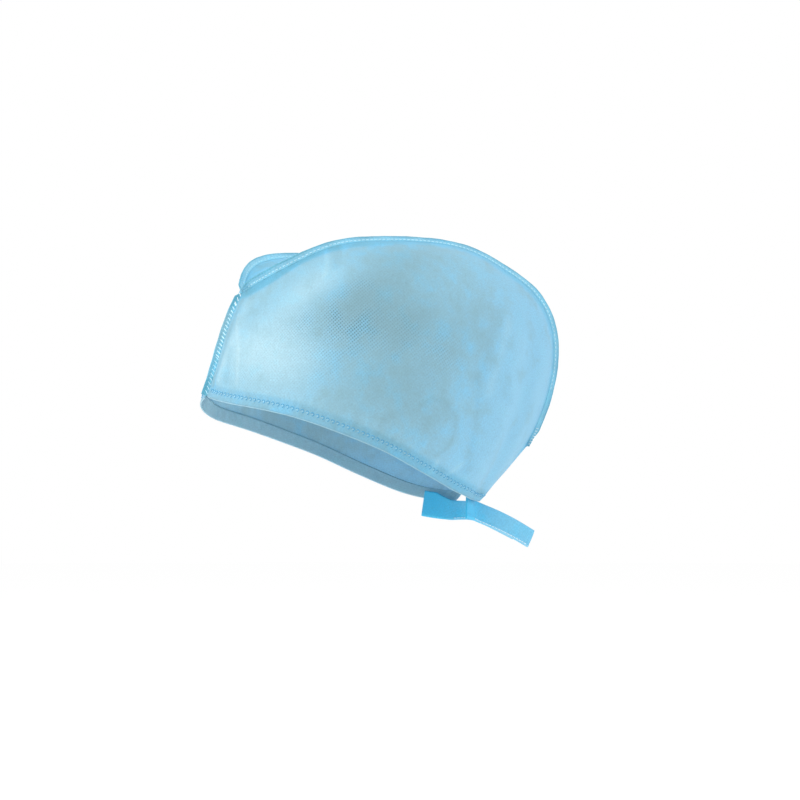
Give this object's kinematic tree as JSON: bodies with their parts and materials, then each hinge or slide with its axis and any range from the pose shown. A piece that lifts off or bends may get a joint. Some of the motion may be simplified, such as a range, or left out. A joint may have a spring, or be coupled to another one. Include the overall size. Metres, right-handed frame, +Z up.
{
  "type": "surgical cap",
  "caption": "Soft tie-back surgical cap: a crown strip between two side panels, standing seams, turned-up hem, and flat ties at the open nape.",
  "frame": {"origin": "middle of the head opening, halfway between the front and the rear of the lower edge, where a head holds the cap", "axes": "+Z up as worn, -Y towards the face, +X towards the wearer's left"},
  "size_m": [0.1642, 0.2318, 0.1984],
  "materials": {
    "cloth": "matte",
    "allowance": "matte",
    "tie_cloth": "matte"
  },
  "bodies": {
    "root": {"crown": "cloth", "side_panel_left": "cloth", "side_panel_right": "cloth", "front_seam": "allowance", "crown_seam_left": "allowance", "crown_seam_right": "allowance", "hem_left": "allowance", "hem_right": "allowance", "tie_left": "tie_cloth", "tie_right": "tie_cloth"}
  },
  "joints": []
}
